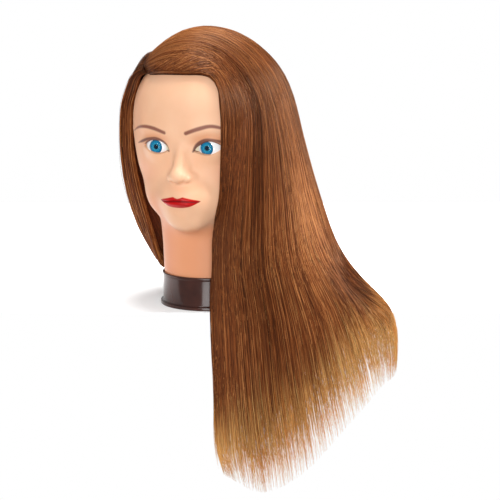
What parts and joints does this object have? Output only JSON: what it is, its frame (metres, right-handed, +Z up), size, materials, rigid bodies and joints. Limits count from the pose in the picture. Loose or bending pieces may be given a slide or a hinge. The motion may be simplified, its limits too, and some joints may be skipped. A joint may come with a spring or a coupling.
{
  "type": "hairdressing training head",
  "caption": "Hairdressing training head: soft vinyl face and neck on a dark collar with a clamp socket, inset eyes, and long straight auburn hair swept to one side.",
  "frame": {"origin": "centre of the collar's underside, where the clamp post goes into the socket", "axes": "+Z up the neck, -Y the way the face looks, +X towards the head's own left, where the long hair hangs"},
  "size_m": [0.313, 0.2341, 0.503],
  "materials": {
    "vinyl_skin": "soft satin vinyl in a light skin tone, with painted brows, eye make-up and glossy red lips",
    "foam_core": "rigid foam filling, dull",
    "collar_plastic": "glossy dark brown",
    "insert_plastic": "black moulded plastic",
    "eye_white": "glossy white",
    "iris_blue": "bright blue with darker rim and fine rays",
    "pupil_black": "black",
    "cornea_clear": "clear, polished",
    "hair_auburn": "straight auburn hair with a soft sheen, lighter golden towards the tips"
  },
  "bodies": {
    "root": {"head_skin": "vinyl_skin", "foam_core": "foam_core", "base_collar": "collar_plastic", "socket_insert": "insert_plastic", "eye_left": "eye_white", "iris_left": "iris_blue", "pupil_left": "pupil_black", "cornea_left": "cornea_clear", "eye_right": "eye_white", "iris_right": "iris_blue", "pupil_right": "pupil_black", "cornea_right": "cornea_clear", "hair_front_curtain": "hair_auburn", "hair_left_temple": "hair_auburn", "hair_left_front": "hair_auburn", "hair_left_side": "hair_auburn", "hair_left_outer": "hair_auburn", "hair_left_back": "hair_auburn", "hair_back_left": "hair_auburn", "hair_back_mid_left": "hair_auburn", "hair_back_centre": "hair_auburn", "hair_back_right": "hair_auburn", "hair_right_back": "hair_auburn", "hair_right_side": "hair_auburn"}
  },
  "joints": []
}
